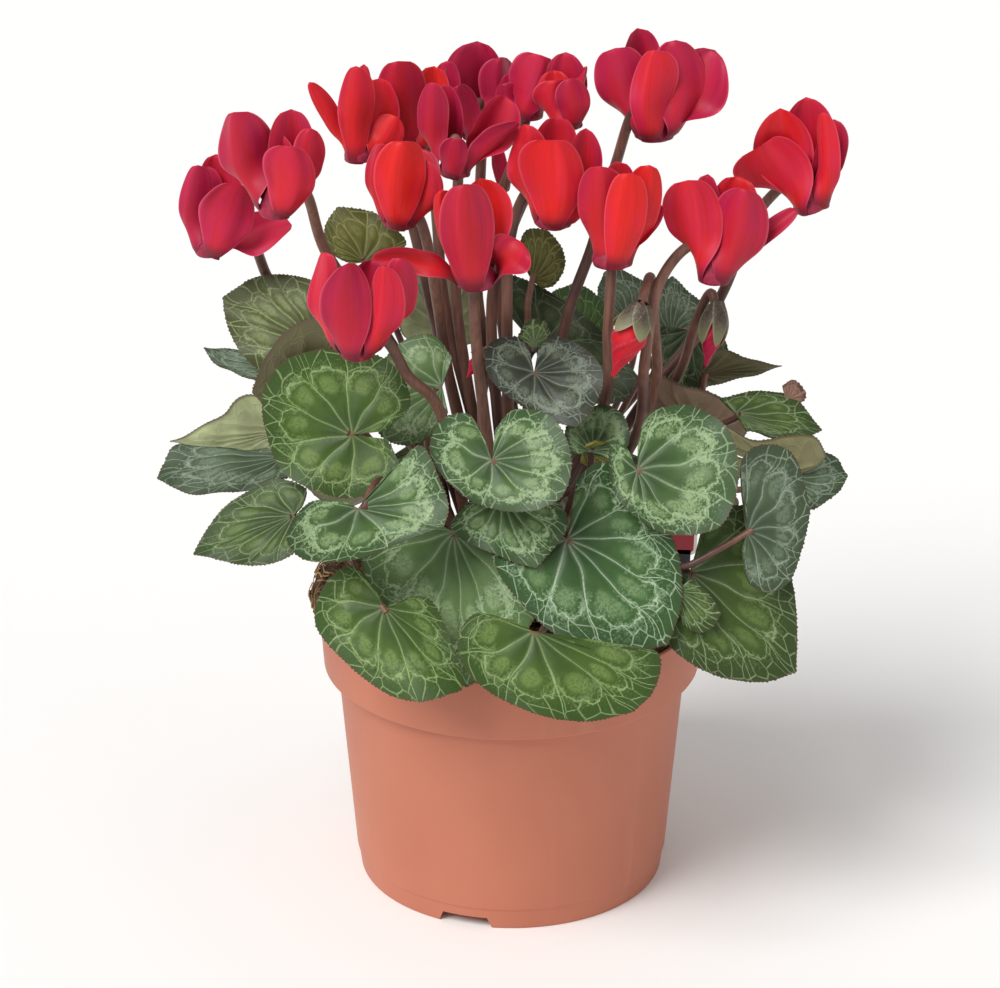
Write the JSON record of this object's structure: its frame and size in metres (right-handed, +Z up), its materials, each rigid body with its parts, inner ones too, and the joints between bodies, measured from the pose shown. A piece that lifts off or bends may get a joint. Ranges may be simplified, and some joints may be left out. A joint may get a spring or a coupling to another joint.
{
  "type": "potted cyclamen",
  "caption": "Florist's cyclamen with reflexed scarlet blooms on bare stems above marbled leaves, in a tapered moulded nursery pot.",
  "frame": {"origin": "on the floor, at the centre of the pot's base", "axes": "+Z up along the pot's axis, -Y towards the front that the picture shows, +X to the viewer's right"},
  "size_m": [0.2321, 0.1833, 0.2987],
  "materials": {
    "pot_plastic": "terracotta-coloured moulded plastic, satin matte, with a faint grain",
    "potting_soil": "dark brown peat and coir root ball, fibrous and dull",
    "tuber_cork": "corky brown tuber crown, dull and slightly cracked",
    "label_card": "plain red plastic plant label with a white border and a dark stake",
    "leaf_blade": "waxy leaf, deep green with pale silver marbling and light veins, toothed margin",
    "petal": "soft scarlet to crimson petal with a velvety sheen and fine streaks",
    "bud": "furled dark red bud with a brown-green calyx"
  },
  "bodies": {
    "root": {"bloom_01": "petal", "bloom_02": "petal", "bloom_03": "petal", "bloom_04": "petal", "bloom_05": "petal", "bloom_06": "petal", "bloom_07": "petal", "bloom_08": "petal", "bloom_09": "petal", "bloom_10": "petal", "bloom_11": "petal", "bloom_12": "petal", "bloom_13": "petal", "bloom_14": "petal", "bloom_15": "petal", "bloom_16": "petal", "bud_01": "bud", "bud_02": "bud", "bud_03": "bud", "leaf_01": "leaf_blade", "leaf_02": "leaf_blade", "leaf_03": "leaf_blade", "leaf_04": "leaf_blade", "leaf_05": "leaf_blade", "leaf_06": "leaf_blade", "leaf_07": "leaf_blade", "leaf_08": "leaf_blade", "leaf_09": "leaf_blade", "leaf_10": "leaf_blade", "leaf_11": "leaf_blade", "leaf_12": "leaf_blade", "leaf_13": "leaf_blade", "leaf_14": "leaf_blade", "leaf_15": "leaf_blade", "leaf_16": "leaf_blade", "leaf_17": "leaf_blade", "leaf_18": "leaf_blade", "leaf_19": "leaf_blade", "leaf_20": "leaf_blade", "leaf_21": "leaf_blade", "leaf_22": "leaf_blade", "leaf_23": "leaf_blade", "leaf_25": "leaf_blade", "leaf_26": "leaf_blade", "leaf_27": "leaf_blade", "leaf_28": "leaf_blade", "leaf_29": "leaf_blade", "leaf_30": "leaf_blade", "leaf_31": "leaf_blade", "leaf_32": "leaf_blade", "leaf_33": "leaf_blade", "leaf_34": "leaf_blade", "leaf_35": "leaf_blade", "leaf_36": "leaf_blade", "leaf_37": "leaf_blade", "plant_label": "label_card", "pot": "pot_plastic", "root_ball": "potting_soil", "tuber": "tuber_cork"}
  },
  "joints": []
}
